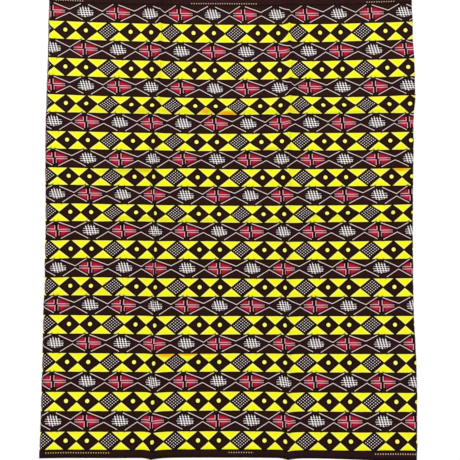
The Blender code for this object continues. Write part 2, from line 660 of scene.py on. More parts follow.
class Figure:
    """A number at each point of the cloth, worked out by shader nodes."""

    def __init__(self, tree: bpy.types.NodeTree, socket: bpy.types.NodeSocket) -> None:
        """Keep the node tree and the socket that gives the number."""
        self.tree = tree
        self.socket = socket

    def worked(self, operation: str, *values: "Figure | float") -> "Figure":
        """A new figure from this one's tree.

        Args:
            operation: Name of the Math node's operation.
            values: What goes into it, in order.

        Returns:
            The node's result.
        """
        node = self.tree.nodes.new("ShaderNodeMath")
        node.operation = operation
        for entry, value in zip(node.inputs, values):
            if isinstance(value, Figure):
                self.tree.links.new(value.socket, entry)
            else:
                entry.default_value = value
        return Figure(self.tree, node.outputs[0])

    def __add__(self, other: "Figure | float") -> "Figure":
        """The sum."""
        return self.worked("ADD", self, other)

    def __radd__(self, other: float) -> "Figure":
        """The sum, with a plain number first."""
        return self.worked("ADD", other, self)

    def __sub__(self, other: "Figure | float") -> "Figure":
        """The difference."""
        return self.worked("SUBTRACT", self, other)

    def __rsub__(self, other: float) -> "Figure":
        """The difference, with a plain number first."""
        return self.worked("SUBTRACT", other, self)

    def __mul__(self, other: "Figure | float") -> "Figure":
        """The product."""
        return self.worked("MULTIPLY", self, other)

    def __rmul__(self, other: float) -> "Figure":
        """The product, with a plain number first."""
        return self.worked("MULTIPLY", other, self)

    def __truediv__(self, other: "Figure | float") -> "Figure":
        """The quotient."""
        return self.worked("DIVIDE", self, other)

    def abs(self) -> "Figure":
        """Its size without its sign."""
        return self.worked("ABSOLUTE", self)

    def floor(self) -> "Figure":
        """The whole number under it."""
        return self.worked("FLOOR", self)

    def nearest(self) -> "Figure":
        """The whole number nearest to it."""
        return self.worked("ROUND", self)

    def within(self, period: float) -> "Figure":
        """Where it lies in a repeat of that length, from 0."""
        return self.worked("FLOORED_MODULO", self, period)

    def cosine(self) -> "Figure":
        """Its cosine."""
        return self.worked("COSINE", self)

    def over(self, other: "Figure | float") -> "Figure":
        """1 where it is greater than the other, and else 0."""
        return self.worked("GREATER_THAN", self, other)

    def is_near(self, other: float) -> "Figure":
        """1 where it is less than half from the other, and else 0."""
        return self.worked("COMPARE", self, other, 0.5)

    def least(self, *others: "Figure | float") -> "Figure":
        """The least of it and the others.

        Args:
            others: The others.

        Returns:
            The least.
        """
        result = self
        for other in others:
            result = self.worked("MINIMUM", result, other)
        return result

    def most(self, *others: "Figure | float") -> "Figure":
        """The greatest of it and the others.

        Args:
            others: The others.

        Returns:
            The greatest.
        """
        result = self
        for other in others:
            result = self.worked("MAXIMUM", result, other)
        return result

    def reach(self, other: "Figure") -> "Figure":
        """Length of the slope whose two sides are it and the other."""
        square = self.worked("MULTIPLY", self, self)
        return self.worked("SQRT", self.worked("MULTIPLY_ADD", other, other, square))

    def step(self, start: float, end: float) -> "Figure":
        """A smooth step.

        Args:
            start: Where it is still 0.
            end: Where it is 1. It may lie under the start.

        Returns:
            The step, from 0 to 1.
        """
        node = self.tree.nodes.new("ShaderNodeMapRange")
        node.interpolation_type = "SMOOTHSTEP"
        self.tree.links.new(self.socket, node.inputs["Value"])
        node.inputs["From Min"].default_value = start
        node.inputs["From Max"].default_value = end
        return Figure(self.tree, node.outputs["Result"])

    def edge(self, softness: float = 0.4) -> "Figure":
        """Mask of a printed shape whose distance inside its edge this is."""
        return self.step(-softness, softness)


class Coat:
    """The colour of the cloth as one ink after another is laid on it."""

    def __init__(self, tree: bpy.types.NodeTree, first: "Ink | bpy.types.NodeSocket") -> None:
        """Start with one ink all over, or with the colour that a node gives."""
        self.tree = tree
        self.colour = first

    def lay(self, ink_or_coat: "Ink | Coat", mask: Figure) -> None:
        """Lay an ink on.

        Args:
            ink_or_coat: The ink, or another coat to take its colour from.
            mask: Where it goes, from 0 to 1.
        """
        above = ink_or_coat.colour if isinstance(ink_or_coat, Coat) else ink_or_coat
        node = self.tree.nodes.new("ShaderNodeMix")
        node.data_type = "RGBA"
        node.clamp_factor = True
        # The node has its colour sockets after those for numbers and vectors
        self.tree.links.new(mask.socket, node.inputs[0])
        self.feed(self.colour, node.inputs[6])
        self.feed(above, node.inputs[7])
        self.colour = node.outputs[2]

    def feed(self, colour: "Ink | bpy.types.NodeSocket", entry: bpy.types.NodeSocket) -> None:
        """Give a colour to a node's socket.

        Args:
            colour: The ink, or the socket that gives the colour.
            entry: The node's socket.
        """
        if isinstance(colour, Ink):
            entry.default_value = colour.value
        else:
            self.tree.links.new(colour, entry)


def new_group(name: str, entries: dict[str, str], results: dict[str, str]) -> bpy.types.NodeTree:
    """An empty shader node group with its sockets.

    Args:
        name: Its name.
        entries: Socket type by name, for what goes in.
        results: Socket type by name, for what comes out.

    Returns:
        The group's node tree, whose end nodes are named entry and result.
    """
    tree = bpy.data.node_groups.new(name, "ShaderNodeTree")
    for label, kind in entries.items():
        tree.interface.new_socket(name=label, in_out="INPUT", socket_type=kind)
    for label, kind in results.items():
        tree.interface.new_socket(name=label, in_out="OUTPUT", socket_type=kind)
    tree.nodes.new("NodeGroupInput").name = "entry"
    tree.nodes.new("NodeGroupOutput").name = "result"
    return tree


def mottle(place: bpy.types.NodeSocket, scale: float, detail: float) -> bpy.types.Node:
    """A noise texture over the cloth.

    Args:
        place: Place in the print, as a vector.
        scale: Patches in one metre.
        detail: How many finer layers it has.

    Returns:
        The node, with outputs Fac and Color.
    """
    tree = place.id_data
    node = tree.nodes.new("ShaderNodeTexNoise")
    node.inputs["Scale"].default_value = scale
    node.inputs["Detail"].default_value = detail
    tree.links.new(place, node.inputs["Vector"])
    return node


def parted(socket: bpy.types.NodeSocket) -> list[Figure]:
    """The three numbers of a vector or of a colour.

    Args:
        socket: Socket that gives the vector or the colour.

    Returns:
        The numbers, in order.
    """
    tree = socket.id_data
    vector = socket.type == "VECTOR"
    node = tree.nodes.new("ShaderNodeSeparateXYZ" if vector else "ShaderNodeSeparateColor")
    tree.links.new(socket, node.inputs[0])
    return [Figure(tree, output) for output in node.outputs]


def read_ramp(place: Figure, stops: Sequence[tuple[float, float, float]],
              interpolation: str) -> tuple[Figure, Figure]:
    """Two heights read from a ramp.

    Args:
        place: Place along the ramp, from 0 to 1.
        stops: Place of each stop along it, and the two heights there, in millimetres.
        interpolation: LINEAR between the stops, or CONSTANT up to the next one.

    Returns:
        The two heights.
    """
    tree = place.tree
    node = tree.nodes.new("ShaderNodeValToRGB")
    ramp = node.color_ramp
    ramp.interpolation = interpolation
    while len(ramp.elements) < len(stops):
        ramp.elements.new(0.5)
    for i, (at, first, second) in enumerate(stops):
        ramp.elements[i].position = at
        ramp.elements[i].color = (first / RAMP_SPAN + 0.5, second / RAMP_SPAN + 0.5, 0.0, 1.0)
    tree.links.new(place.socket, node.inputs["Fac"])
    first, second, _ = parted(node.outputs["Color"])
    return (first - 0.5) * RAMP_SPAN, (second - 0.5) * RAMP_SPAN


# The print


@dataclass(frozen=True)
class Repeat:
    """The print's repeat on the cloth, in millimetres.

    Attributes:
        across: Width of the repeat.
        up: Distance from one row of triangles to the next.
        first: Middle of the lowest row of triangles above the lower selvedge.
        low_margin: Height of the plain strip at the lower selvedge.
        high_margin: Height at which the plain strip at the upper selvedge starts.
    """

    across: float = 160.7
    up: float = 91.0
    first: float = 38.8
    low_margin: float = 19.4
    high_margin: float = 1107.6

    def margin(self, t: Figure) -> Figure:
        """Distance inside the part of the cloth between the two plain strips."""
        return (t - self.low_margin).least(self.high_margin - t)


@dataclass
class TriangleMarks:
    """What the rows of triangles leave on the cloth.

    Attributes:
        yellow: Distance inside a triangle's edge.
        side: Distance inside its slanted side alone.
        top: Distance inside the row's edge alone.
        corner: Place along the slanted side, from 0 at the row's edge to 1 at the tips.
        dot: Distance inside a dot's edge.
        light: Distance inside the edge of either.
        check: Mask of the check's white cells.
        check_field: Mask of the lozenge under the check.
    """

    yellow: Figure
    side: Figure
    top: Figure
    corner: Figure
    dot: Figure
    light: Figure
    check: Figure
    check_field: Figure


@dataclass(frozen=True)
class TriangleRows:
    """Rows of yellow triangles that meet at their tips round dark lozenges.

    Each repeat has three lozenges: two with a dot, and one with a check.

    Attributes:
        start: Where the first lozenge starts in the repeat.
        drop: How far a row's middle is under its place in the repeat.
        half_row: Half the height of a row.
        half_gap: Half the gap between two tips.
        vertex_gap: Half the gap between two triangles at the row's edge.
        first_vertex: Place of the first lozenge's upper corner in it.
        second_lean: How far the second one's corner is left of that.
        third_lean: How far the third one's corner is left of that.
        third_margin: How much wider the third one is on each side.
        third_skew: How much less so at its lower right.
        side_rise: How far the slanted sides are moved towards the row's middle.
        slope_share: Turns a height over a slanted side into a distance from it.
        dot_radius: Radius of a dot.
        dot_lift: Height of its middle above the row's middle.
        check_width: Width of a cell of the check.
        check_height: Height of a cell.
        check_x: Place in its lozenge of the check's uppermost cell.
        check_y: Height of that cell above the row's middle.
        check_fall: Middle and half length of the check down to the right, in cells.
        check_rise: The same up to the right.
        cell_edge: Values between which a cell's edge lies.
    """

    start: float = 27.2
    drop: float = 0.6
    half_row: float = 21.6
    half_gap: float = 1.8
    vertex_gap: float = 3.0
    first_vertex: float = 27.9
    second_lean: float = 2.7
    third_lean: float = 0.8
    third_margin: float = 0.9
    third_skew: float = 1.4
    side_rise: float = 0.3
    slope_share: float = 0.757
    dot_radius: float = 4.8
    dot_lift: float = 1.1
    check_width: float = 4.18
    check_height: float = 3.40
    check_x: float = 27.5
    check_y: float = 16.4
    check_fall: tuple[float, float] = (2.5, 3.0)
    check_rise: tuple[float, float] = (2.0, 2.5)
    cell_edge: tuple[float, float] = (0.50, 0.66)

    def marks(self, u: Figure, t: Figure, repeat: Repeat) -> TriangleMarks:
        """Work out the marks.

        Args:
            u: Place across the print.
            t: Place up it.
            repeat: The print's repeat.

        Returns:
            The marks.
        """
        inside = repeat.margin(t)
        lozenge = repeat.across / 3
        height = t - repeat.first
        row = (height / repeat.up).nearest()
        v = height - row * repeat.up + self.drop
        place = (u - self.start).within(repeat.across)
        cell = (place / lozenge).floor()
        x = place - cell * lozenge
        second = cell.is_near(1.0)
        third = cell.is_near(2.0)
        vertex = self.first_vertex - second * self.second_lean - third * self.third_lean
        a = x - vertex
        left = (-1.0 * a - self.vertex_gap) / (vertex - self.vertex_gap)
        right = (a - self.vertex_gap) / (lozenge - self.vertex_gap - vertex)
        corner = left.most(right)
        fall = self.half_row - self.half_gap
        top = self.half_row - v.abs()
        side = (corner * fall + self.side_rise - top) * self.slope_share
        # A soft mask of the lozenge's lower right quarter
        low_right = v.step(1.0, -1.0) * a.step(-3.0, 3.0)
        side = side - third * (self.third_margin - low_right * self.third_skew)
        yellow = side.least(top, inside)
        dot = (self.dot_radius - a.reach(v - self.dot_lift) - third * FAR).least(inside)
        return TriangleMarks(
            yellow=yellow,
            side=side,
            top=top,
            corner=corner,
            dot=dot,
            light=yellow.most(dot),
            check=self.check(x, v) * third * inside.edge(),
            check_field=third * side.step(0.3, -0.5) * top.least(inside).edge(),
        )

    def check(self, x: Figure, v: Figure) -> Figure:
        """Mask of the white cells in a lozenge of check.

        Args:
            x: Place across the lozenge.
            v: Height from the row's middle.

        Returns:
            The mask.
        """
        column = (x - self.check_x) / self.check_width
        row = (self.check_y - v) / self.check_height
        cells = (column * math.pi).cosine() * (row * math.pi).cosine()
        middle, half = self.check_fall
        falling = half - ((row - column) * 0.5 - middle).abs()
        middle, half = self.check_rise
        rising = half - ((row + column) * 0.5 - middle).abs()
        return cells.step(*self.cell_edge) * falling.least(rising).step(-0.02, 0.10)


@dataclass
class ShieldMarks:
    """What a shield leaves on the cloth.

    Attributes:
        red: Distance inside the edge of a red patch.
        red_field: Distance outside the pair of level lines.
        low: Mask of the brighter red at its lower left.
        pair: Distance inside the ground between the two level lines.
        pink: Distance inside a pink line's edge.
        tip: Mask of the paler ends of the level lines.
        bar: Distance inside the bar's edge.
    """

    red: Figure
    red_field: Figure
    low: Figure
    pair: Figure
    pink: Figure
    tip: Figure
    bar: Figure


@dataclass(frozen=True)
class Shield:
    """The red shield, on a stepped upright bar between a pair of level lines.

    Places are from the bar's middle, and heights are from the row's middle. Its
    left half and its right half differ a little.

    Attributes:
        middle: Place of its bar along the repeat.
        bar_step: How far the bar's upper half stands to the left of its lower half.
        bar_size: Half the width and half the height of the bar.
        arm: Length of the level lines on the left.
        arm_more: How much longer they are on the right.
        arm_start: Where they start.
        half_level: Half the width of a level line.
        pair_high: Height of the upper level line on the left.
        high_less: How much less that is on the right.
        pair_low: Height of the lower one on the left.
        low_more: How much further down that is on the right.
        upright: Place of the upright pink lines.
        upright_less: How much nearer the bar the lower right one is.
        half_upright: Half the width of an upright line.
        overlap: How far they reach over the level lines, and how far the red stays off those.
        foot: Height of the upright lines.
        foot_right: How much higher the upper right one is.
        foot_left: How much longer the lower left one is.
        red_start: Where the red starts.
        red_height: Height of the red.
        red_short: How much sooner than the level lines the red ends.
        red_gap: Distance of the red's edge from the crossed lines.
        slope_share: Turns a height over a crossed line into a distance from it.
        red_fade: How softly the red fades beside a crossed line.
        tip_fade: Distances from a level line's end between which it turns paler.
    """

    middle: float = 35.8
    bar_step: float = 2.8
    bar_size: tuple[float, float] = (2.7, 16.2)
    arm: float = 26.2
    arm_more: float = 6.2
    arm_start: float = 3.1
    half_level: float = 0.95
    pair_high: float = 3.7
    high_less: float = 1.0
    pair_low: float = -1.8
    low_more: float = 0.3
    upright: float = 4.3
    upright_less: float = 1.3
    half_upright: float = 1.0
    overlap: float = 1.0
    foot: float = 12.8
    foot_right: float = 1.6
    foot_left: float = 1.7
    red_start: float = 5.3
    red_height: float = 15.0
    red_short: float = 2.4
    red_gap: float = 1.0
    slope_share: float = 0.88
    red_fade: float = 0.54
    tip_fade: tuple[float, float] = (14.0, 3.0)

    def marks(self, g: Figure, w: Figure, arms: tuple[Figure, Figure], inside: Figure) -> ShieldMarks:
        """Work out the marks.

        Args:
            g: Place along the repeat.
            w: Height from the row's middle.
            arms: Heights of the upper and the lower crossed line.
            inside: Distance inside the printed part of the cloth.

        Returns:
            The marks.
        """
        top = w.step(0.4, 1.4)
        beside = g - self.middle
        stepped = beside + (top - 0.5) * self.bar_step
        along, size = stepped.abs(), w.abs()
        right = stepped.over(0.0)
        left_low, right_low = (1.0 - right) * (1.0 - top), right * (1.0 - top)
        to_end = self.arm + right * self.arm_more - beside.abs()
        high = self.pair_high - right * self.high_less
        low = self.pair_low - right * self.low_more
        beyond = (w - high).most(low - w)
        from_line = (arms[0] - w).least(w - arms[1]) * self.slope_share
        red = (along - self.red_start).least(
            self.red_height - size, (from_line - self.red_gap) * self.red_fade,
            to_end - self.red_short, inside,
        )
        foot = self.foot + right * top * self.foot_right + left_low * self.foot_left
        upright = self.upright - right_low * self.upright_less
        uprights = (self.half_upright - (along - upright).abs()).least(
            beyond + self.overlap, foot - size
        )
        levels = (self.half_level - beyond.abs()).least(along - self.arm_start, to_end)
        bar_width, bar_height = self.bar_size
        return ShieldMarks(
            red=red,
            red_field=beyond - self.overlap,
            low=w.step(1.0, -1.0) * (1.0 - right),
            pair=(-1.0 * beyond).least(along - self.arm_start, to_end, inside),
            pink=uprights.most(levels).least(inside),
            tip=to_end.step(*self.tip_fade),
            bar=(bar_width - along).least(bar_height - size, inside),
        )


@dataclass(frozen=True)
class HatchedOval:
    """The hatched oval: slanted strokes over thinner level ones.

    The last slanted stroke is short, and is printed as the level ones are.

    Attributes:
        middle: Place and height of its middle.
        half_size: Half its width and half its height.
        edge_share: Turns how far inside it a place is, as a share, into a distance.
        first: Place of its first slanted stroke at the row's middle.
        pitch: Distance from one stroke to the next.
        slant: How far a stroke moves to the left for each millimetre up.
        slope_share: Turns a distance along the row into one across a stroke.
        ends: Height of each stroke's upper and lower end.
        half_stroke: Half the width of a stroke.
        bead: How much wider it is on a level stroke, and narrower between two.
        taper: How much narrower it is at its ends.
        taper_length: Length over which it narrows.
        level_pitch: Distance from one level stroke to the next.
        level_drop: How far they lie under the row's middle.
        half_level: Half the width of a level stroke at the row's middle.
        level_thin: How much that is less for each millimetre up.
    """

    middle: tuple[float, float] = (118.7, -0.3)
    half_size: tuple[float, float] = (20.2, 9.9)
    edge_share: float = 6.0
    first: float = 108.8
    pitch: float = 6.65
    slant: float = 0.245
    slope_share: float = 0.97
    ends: tuple[tuple[float, float], ...] = (
        (12.8, -10.6), (15.0, -12.6), (14.0, -9.8), (13.8, -9.6), (1.8, -6.6),
    )
    half_stroke: float = 1.12
    bead: float = 0.42
    taper: float = 0.8
    taper_length: float = 3.0
    level_pitch: float = 5.15
    level_drop: float = 0.45
    half_level: float = 0.76
    level_thin: float = 0.04

    def marks(self, g: Figure, w: Figure, inside: Figure) -> tuple[Figure, Figure]:
        """Work out the marks.

        Args:
            g: Place along the repeat.
            w: Height from the row's middle.
            inside: Distance inside the printed part of the cloth.

        Returns:
            Distances inside the edges of the slanted strokes and of the level ones.
        """
        count = (g - self.first + w * self.slant) / self.pitch
        number = count.nearest()
        beside = (count - number).abs() * (self.pitch * self.slope_share)
        strokes = len(self.ends)
        stops = [(i / strokes, high, low) for i, (high, low) in enumerate(self.ends)]
        high, low = read_ramp((number + 0.5) / strokes, stops, "CONSTANT")
        from_end = (high - w).least(w - low)
        level = (w + self.level_drop) / self.level_pitch
        bead = (level * (2 * math.pi)).cosine() * self.bead
        taper = from_end.step(self.taper_length, 0.0) * self.taper
        last = (number - (strokes - 1.5)) * SHARP
        stroke = (self.half_stroke + bead - beside - taper).least(
            from_end, (number + 0.5) * SHARP, (strokes - 0.5 - number) * SHARP, inside
        )
        a = (g - self.middle[0]) / self.half_size[0]
        b = (w - self.middle[1]) / self.half_size[1]
        round_edge = (1.0 - a * a * a * a - b * b) * self.edge_share
        thick = self.half_level - w * self.level_thin
        thin = thick - (level - level.nearest()).abs() * self.level_pitch
        thin = thin.least(round_edge, inside).most(stroke.least(last))
        return stroke.least(-1.0 * last), thin


@dataclass
class SpindleMarks:
    """What the rows of spindles leave on the cloth.

    Attributes:
        line: Distance inside a crossed line's edge.
        shield: What the shields leave.
        stroke: Distance inside the edge of an oval's slanted stroke.
        hatch: The same of its level strokes.
    """

    line: Figure
    shield: ShieldMarks
    stroke: Figure
    hatch: Figure


@dataclass(frozen=True)
class SpindleRows:
    """Rows of long crossed lines, with a red shield and a hatched oval by turns.

    Places along a repeat are from the crossing on the left of the shield, and
    heights are from the row's middle.

    Attributes:
        start: Where the repeat starts in the print, in every other row.
        half_line: Half the width of a line.
        slope_share: Turns a height over a line into a distance from it.
        upper_arms: Places along the repeat and heights of the upper line.
        lower_arms: The same of the lower line.
        upper_gaps: Middle and half width of each gap in the upper line.
        lower_gaps: The same in the lower line.
        shield: The shield.
        oval: The oval.
    """

    start: float = -14.1
    half_line: float = 0.75
    slope_share: float = 0.9
    upper_arms: tuple[tuple[float, float], ...] = (
        (0.0, 3.6), (12.0, 11.9), (26.5, 21.1), (33.0, 25.0), (40.2, 20.4), (60.0, 13.3),
        (79.4, 6.2), (107.2, 20.9), (116.0, 25.5), (125.7, 19.2), (144.0, 11.1), (160.7, 3.6),
    )
    lower_arms: tuple[tuple[float, float], ...] = (
        (0.0, -1.9), (12.0, -8.7), (30.0, -18.4), (37.5, -23.0), (45.2, -19.6),
        (79.6, -2.3), (112.2, -19.3), (121.5, -24.8), (131.2, -20.5), (160.7, -1.9),
    )
    upper_gaps: tuple[tuple[float, float], ...] = ((33.6, 6.4), (116.6, 9.2))
    lower_gaps: tuple[tuple[float, float], ...] = ((37.8, 7.4), (121.6, 9.6))
    shield: Shield = Shield()
    oval: HatchedOval = HatchedOval()

    def marks(self, u: Figure, t: Figure, repeat: Repeat) -> SpindleMarks:
        """Work out the marks.

        Args:
            u: Place across the print.
            t: Place up it.
            repeat: The print's repeat.

        Returns:
            The marks.
        """
        height = t - repeat.first
        row = (height / repeat.up).floor()
        w = height - row * repeat.up - repeat.up / 2
        turned = (row + 1.0).within(2.0)
        g = (u - self.start + turned * (repeat.across / 2)).within(repeat.across)
        inside = repeat.margin(t)
        upper, lower = self.arms(g, repeat)
        upper_line = self.line(g, w - upper, self.upper_gaps)
        lower_line = self.line(g, w - lower, self.lower_gaps)
        stroke, hatch = self.oval.marks(g, w, inside)
        return SpindleMarks(
            line=upper_line.most(lower_line).least(inside),
            shield=self.shield.marks(g, w, (upper, lower), inside),
            stroke=stroke,
            hatch=hatch,
        )

    def line(self, g: Figure, off: Figure, gaps: Sequence[tuple[float, float]]) -> Figure:
        """Distance inside a line's edge.

        Args:
            g: Place along the repeat.
            off: Height above the line's middle.
            gaps: Middle and half width of each gap in it.

        Returns:
            The distance.
        """
        inside = self.half_line - off.abs() * self.slope_share
        return inside.least(*((g - middle).abs() - half for middle, half in gaps))

    def arms(self, g: Figure, repeat: Repeat) -> tuple[Figure, Figure]:
        """Heights of the upper and the lower line along the repeat.

        Args:
            g: Place along the repeat.
            repeat: The print's repeat.

        Returns:
            The two heights.
        """
        both = (self.upper_arms, self.lower_arms)
        places = sorted({place for arm in both for place, _ in arm})
        stops = [
            (place / repeat.across, *(self.height_on(arm, place) for arm in both))
            for place in places
        ]
        return read_ramp(g / repeat.across, stops, "LINEAR")

    def height_on(self, arm: Sequence[tuple[float, float]], place: float) -> float:
        """Height of a line at a place along the repeat.

        Args:
            arm: Places along the repeat and heights of the line.
            place: The place.

        Returns:
            The height.
        """
        for (x0, y0), (x1, y1) in zip(arm, arm[1:]):
            if x0 <= place <= x1:
                return y0 + (y1 - y0) * (place - x0) / (x1 - x0)
        return arm[-1][1]


@dataclass(frozen=True)
class SelvedgeDots:
    """Short rows of small plain dots in the strips along the selvedges.

    Attributes:
        low: Height of the dots at the lower selvedge.
        high: The same at the upper one.
        low_sets: Middle and half length of each set of dots at the lower selvedge.
        high_sets: The same at the upper one.
        pitch: Distance from one dot to the next.
        radius: Radius of a dot.
    """

    low: float = 12.0
    high: float = 1113.0
    low_sets: tuple[tuple[float, float], ...] = ((-398.0, 78.0), (-1.0, 30.0), (396.0, 74.0))
    high_sets: tuple[tuple[float, float], ...] = ((-418.0, 37.0), (-26.0, 84.0), (368.0, 35.0))
    pitch: float = 6.0
    radius: float = 1.3

    def marks(self, u: Figure, t: Figure) -> Figure:
        """Distance inside a dot's edge.

        Args:
            u: Place across the print.
            t: Place up it.

        Returns:
            The distance.
        """
        x = u - (u / self.pitch).nearest() * self.pitch
        rows = []
        for height, sets in ((self.low, self.low_sets), (self.high, self.high_sets)):
            along = [half - (u - middle).abs() for middle, half in sets]
            dot = self.radius - x.reach(t - height)
            rows.append(dot.least(along[0].most(*along[1:])))
        return rows[0].most(rows[1])


@dataclass(frozen=True)
class WaxPrint:
    """The whole print as one shader node group.

    Inks are laid on by masks. The two numbers of a mask's step are millimetres
    inside an edge, or values of the uneven ink, and a factor on it is how
    strongly the ink is laid.

    Attributes:
        repeat: Its repeat.
        triangles: Its rows of triangles.
        spindles: Its rows of spindles.
        selvedge: Its selvedge dots.
        wander: How far a printed edge wanders, in millimetres.
        wander_scale: Places in a metre where it wanders.
        patch_scale: Uneven patches of ink in a metre.
        fleck_scale: Fine flecks of ink in a metre.
        dark_foot: Height under which the lower selvedge is darker.
    """

    repeat: Repeat = Repeat()
    triangles: TriangleRows = TriangleRows()
    spindles: SpindleRows = SpindleRows()
    selvedge: SelvedgeDots = SelvedgeDots()
    wander: float = 0.9
    wander_scale: float = 90.0
    patch_scale: float = 55.0
    fleck_scale: float = 420.0
    dark_foot: float = 9.0

    def group(self) -> bpy.types.NodeTree:
        """Build the group: the place in the print goes in, and its colour comes out.

        Returns:
            The group, which also gives the mask of the yellow.
        """
        tree = new_group(
            "wax_print",
            {"Place": "NodeSocketVector"},
            {"Colour": "NodeSocketColor", "Light": "NodeSocketFloat"},
        )
        place = tree.nodes["entry"].outputs["Place"]
        x, y, _ = parted(place)
        aside, up, _ = parted(mottle(place, self.wander_scale, 1.5).outputs["Color"])
        u = x * MM + (aside - 0.5) * self.wander
        t = y * MM + (up - 0.5) * self.wander
        patches = Figure(tree, mottle(place, self.patch_scale, 3.0).outputs["Fac"])
        flecks = Figure(tree, mottle(place, self.fleck_scale, 2.0).outputs["Fac"])

        triangles = self.triangles.marks(u, t, self.repeat)
        coat = self.ground(t, triangles, patches, flecks)
        self.lay_triangles(coat, triangles, self.yellow(triangles, patches, flecks))
        self.lay_spindles(coat, self.spindles.marks(u, t, self.repeat))
        coat.lay(Ink.MARK, self.selvedge.marks(u, t).edge())

        result = tree.nodes["result"]
        tree.links.new(coat.colour, result.inputs["Colour"])
        tree.links.new(triangles.light.edge().socket, result.inputs["Light"])
        return tree

    def ground(self, t: Figure, triangles: TriangleMarks, patches: Figure, flecks: Figure) -> Coat:
        """The dark ground, which is olive beside the yellow and darker low on the cloth.

        Args:
            t: Place up the print.
            triangles: Marks of the rows of triangles.
            patches: Uneven patches of ink.
            flecks: Fine flecks of ink.

        Returns:
            The ground.
        """
        coat = Coat(t.tree, Ink.BROWN)
        coat.lay(Ink.PLUM, patches.step(0.50, 0.68))
        coat.lay(Ink.UMBER, flecks.step(0.52, 0.75) * 0.7)
        coat.lay(Ink.BLACK, triangles.check_field)
        beside = triangles.light.step(-9.0, -3.0)
        coat.lay(Ink.OLIVE, beside * self.repeat.margin(t).step(-1.0, 2.0))
        close = triangles.light.step(-4.4, -0.8)
        coat.lay(Ink.OLIVE_BLACK, close * triangles.top.step(-1.5, 0.5))
        coat.lay(Ink.BLACK, t.step(CUT_HEIGHT * MM, 0.0) * 0.20)
        coat.lay(Ink.BLACK, t.step(self.dark_foot, 1.0) * 0.55)
        return coat

    def yellow(self, triangles: TriangleMarks, patches: Figure, flecks: Figure) -> Coat:
        """The yellow of the triangles, deep in the middle and pale along their edges.

        Args:
            triangles: Marks of the rows of triangles.
            patches: Uneven patches of ink.
            flecks: Fine flecks of ink.

        Returns:
            The yellow.
        """
        side, top = triangles.side, triangles.top
        coat = Coat(side.tree, Ink.YELLOW)
        coat.lay(Ink.DEEP_YELLOW, patches.step(0.46, 0.66) * flecks.step(0.35, 0.65))
        coat.lay(Ink.DEEP_YELLOW, triangles.yellow.step(7.0, 4.0) * 0.5)
        pale = side.step(4.2, 1.6) * side.step(-0.2, 1.4)
        coat.lay(Ink.RIM, pale * 0.85)
        coat.lay(Ink.RIM, top.step(2.6, 1.0) * top.step(-0.2, 1.2) * 0.8)
        coat.lay(Ink.CORNER, pale * triangles.corner.step(0.36, 0.04))
        return coat

    def lay_triangles(self, coat: Coat, triangles: TriangleMarks, yellow: Coat) -> None:
        """Args:
            coat: The cloth's colour so far.
            triangles: Marks of the rows of triangles.
            yellow: The yellow of the triangles.
        """
        dot = triangles.dot
        coat.lay(yellow, triangles.yellow.edge())
        coat.lay(Ink.PALE_YELLOW, dot.edge())
        coat.lay(Ink.DEEP_YELLOW, dot.step(1.0, -0.2) * dot.edge() * 0.6)
        coat.lay(Ink.DOT_EYE, dot.step(3.8, 5.4) * 0.6)
        coat.lay(Ink.CHECK_WHITE, triangles.check)

    def lay_spindles(self, coat: Coat, spindles: SpindleMarks) -> None:
        """Lay the crossed lines, the shields and the hatched ovals on.

        Args:
            coat: The cloth's colour so far.
            spindles: Marks of the rows of spindles.
        """
        shield = spindles.shield
        drawn = spindles.line.most(shield.pink, spindles.stroke, spindles.hatch)
        coat.lay(Ink.BLACK, drawn.step(-4.8, -1.0) * 0.85)
        field = shield.red_field.edge()
        coat.lay(Ink.RED_EDGE, shield.red.edge() * field)
        red = Coat(coat.tree, Ink.RED)
        red.lay(Ink.LOW_RED, shield.low)
        coat.lay(red, shield.red.step(0.4, 4.6) * field)
        coat.lay(Ink.LINE, spindles.line.edge())
        coat.lay(Ink.PAIR, shield.pair.edge())
        pink = Coat(coat.tree, Ink.PINK)
        pink.lay(Ink.TIP, shield.tip)
        coat.lay(pink, shield.pink.edge())
        coat.lay(Ink.BLACK, shield.bar.edge())
        coat.lay(Ink.HATCH_BAR, spindles.hatch.edge())
        coat.lay(Ink.WHITE, spindles.stroke.edge())


@dataclass(frozen=True)
class PlainWeave:
    """Plain weave of the cotton as one shader node group.

    Attributes:
        yarn_pitch: Distance from one yarn to the next, in millimetres.
    """

    yarn_pitch: float = 0.36

    def group(self) -> bpy.types.NodeTree:
        """Build the group: the place goes in, and the yarns' height comes out.

        Returns:
            The group.
        """
        tree = new_group(
            "plain_weave",
            {"Place": "NodeSocketVector"},
            {"Height": "NodeSocketFloat"},
        )
        x, y, _ = parted(tree.nodes["entry"].outputs["Place"])
        u, t = x * (MM / self.yarn_pitch), y * (MM / self.yarn_pitch)
        warp = self.yarn(u, t, 0.0)
        weft = self.yarn(t, u, 1.0)
        tree.links.new(warp.most(weft).socket, tree.nodes["result"].inputs["Height"])
        return tree

    def yarn(self, beside: Figure, along: Figure, start: float) -> Figure:
        """Height of one set of yarns.

        Args:
            beside: Place across the yarns, in yarns.
            along: Place along them, in yarns.
            start: 1 if the first yarn starts under the others, and else 0.

        Returns:
            The height, from 0 to 1.
        """
        number = beside.floor()
        middle = ((beside - number - 0.5) * math.pi).cosine()
        passing = ((along - 0.5 + number + start) * math.pi).cosine()
        return middle * (passing * 0.5 + 0.5)


# Finishes


